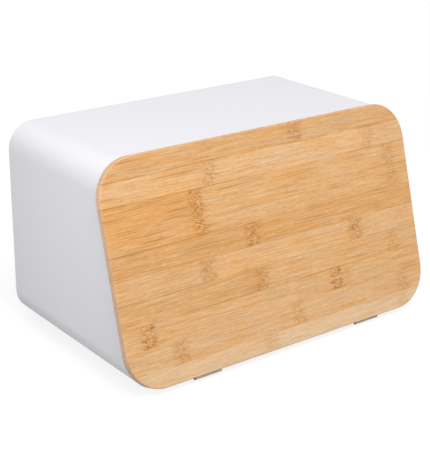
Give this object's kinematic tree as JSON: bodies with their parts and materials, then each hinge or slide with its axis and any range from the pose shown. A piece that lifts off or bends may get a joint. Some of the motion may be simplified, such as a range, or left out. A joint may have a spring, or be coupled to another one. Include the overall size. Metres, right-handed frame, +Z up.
{
  "type": "bread box with drop-down door",
  "caption": "Countertop bread box: bent steel shell with a leaning front, closed by a bamboo board that drops down on hinges at its lower edge.",
  "frame": {"origin": "middle of the box, on the surface that its feet stand on", "axes": "+X to the right, +Y to the back, +Z up; the door faces -Y"},
  "size_m": [0.37, 0.2235, 0.212],
  "materials": {
    "powder_coat": "fine satin white powder coat",
    "bamboo": "oiled laminated bamboo, strips running across",
    "hinge_steel": "zinc-plated sheet",
    "pin_steel": "dark drawn wire",
    "rivet_steel": "plain drawn steel",
    "screw_steel": "zinc plated",
    "magnet_nickel": "bright nickel plate",
    "foot_rubber": "matt moulded rubber"
  },
  "bodies": {
    "box": {"shell": "powder_coat", "front_frame": "powder_coat", "back_panel": "powder_coat", "hinge_body_leaf_left": "hinge_steel", "hinge_body_leaf_right": "hinge_steel", "hinge_pin_left": "pin_steel", "hinge_pin_right": "pin_steel", "hinge_rivets": "rivet_steel", "foot_front_left": "foot_rubber", "foot_front_right": "foot_rubber", "foot_back_left": "foot_rubber", "foot_back_right": "foot_rubber", "foot_washers": "rivet_steel", "foot_rivets": "rivet_steel"},
    "door": {"door_panel": "bamboo", "hinge_door_leaf_left": "hinge_steel", "hinge_door_leaf_right": "hinge_steel", "hinge_screws": "screw_steel", "magnet_left": "magnet_nickel", "magnet_right": "magnet_nickel"}
  },
  "joints": [
    {"name": "door_hinge", "type": "hinge", "parent": "box", "child": "door", "pos_m": [0, -0.10983, 0.0056], "axis": [1, 0, 0], "range_deg": [0, 106]}
  ]
}
